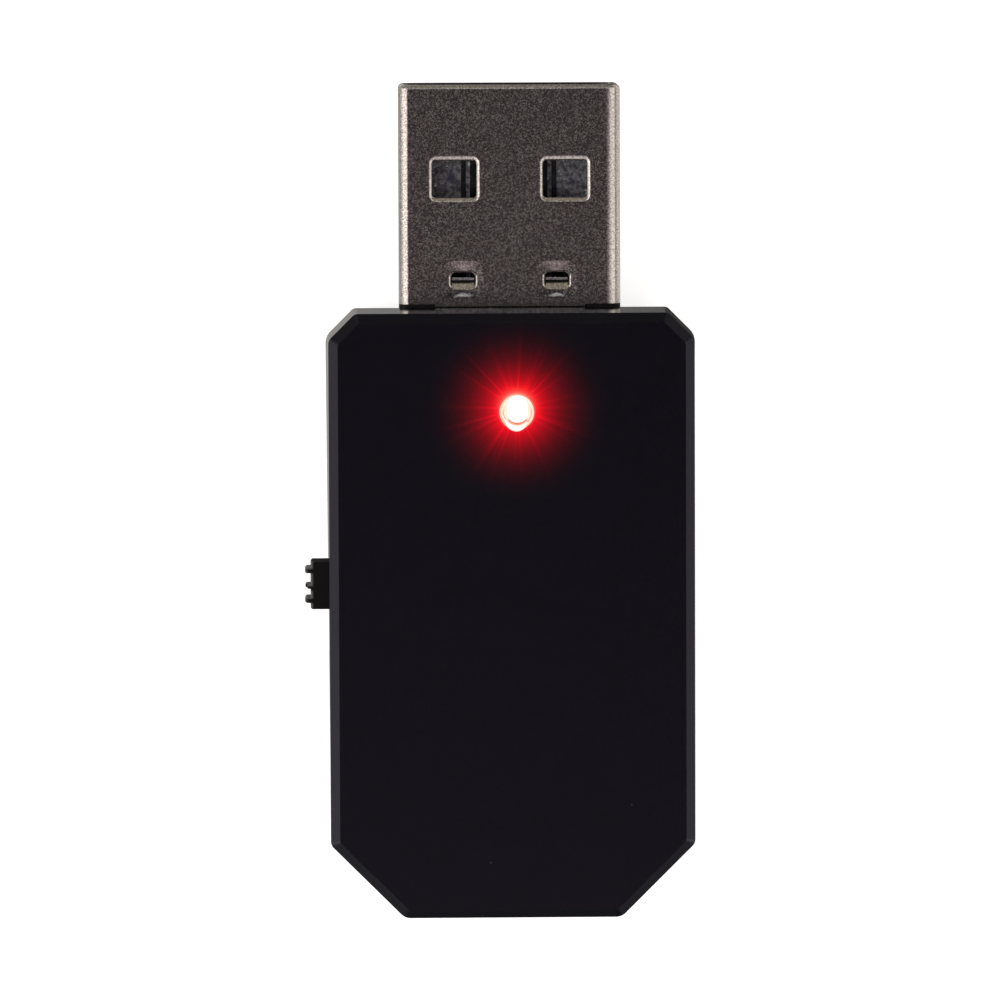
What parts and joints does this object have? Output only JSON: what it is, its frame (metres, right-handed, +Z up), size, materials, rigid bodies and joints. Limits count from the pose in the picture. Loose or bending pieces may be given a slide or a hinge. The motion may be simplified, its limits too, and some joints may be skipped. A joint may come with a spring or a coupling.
{
  "type": "usb wifi adapter",
  "caption": "Pocket USB wireless network adapter: bevelled black case with cut corners, metal USB-A plug, indicator light and a side slide switch.",
  "frame": {"origin": "centre of the case's flat underside", "axes": "+Y along the plug towards its tip, +Z up through the face with the indicator light, the slide switch on the -X side"},
  "size_m": [0.0212, 0.045, 0.0096],
  "materials": {
    "case_black": "fine satin texture",
    "plated_steel": "satin nickel plate",
    "black_moulding": "moulded",
    "green_board": "solder mask",
    "plated_contact": "plated, scratched",
    "solder": "bright solder",
    "led_body": "moulded",
    "clear_light_pipe": "clear, lit red",
    "switch_steel": "tin plate",
    "knob_black": "moulded",
    "spring_brass": "bright",
    "chip_black": "moulded epoxy",
    "shield_tin": "tin plate",
    "ferrite_grey": "matt",
    "tantalum_ochre": "moulded",
    "capacitor_tan": "matt",
    "resistor_black": "glazed",
    "antenna_white": "matt"
  },
  "bodies": {
    "adapter": {"top_cover": "case_black", "bottom_cover": "case_black", "plug_shell": "plated_steel", "plug_spacer": "black_moulding", "circuit_board": "green_board", "contact_pads": "plated_contact", "tongue_traces": "plated_contact", "plug_solder": "solder", "led_package": "led_body", "light_pipe": "clear_light_pipe", "switch_frame": "switch_steel", "switch_base": "black_moulding", "switch_terminals": "plated_contact", "radio_chip": "chip_black", "shield_can": "shield_tin", "crystal": "shield_tin", "memory_chip": "chip_black", "memory_chip_leads": "solder", "voltage_regulator": "chip_black", "voltage_regulator_leads": "solder", "inductor": "ferrite_grey", "power_capacitor": "tantalum_ochre", "small_capacitors": "capacitor_tan", "resistors": "resistor_black", "chip_antenna": "antenna_white"},
    "switch_slider": {"switch_knob": "knob_black", "switch_wiper": "spring_brass"}
  },
  "joints": [
    {"name": "switch_slide", "type": "slide", "parent": "adapter", "child": "switch_slider", "axis": [0, -1, 0], "range_m": [0, 0.002]}
  ]
}
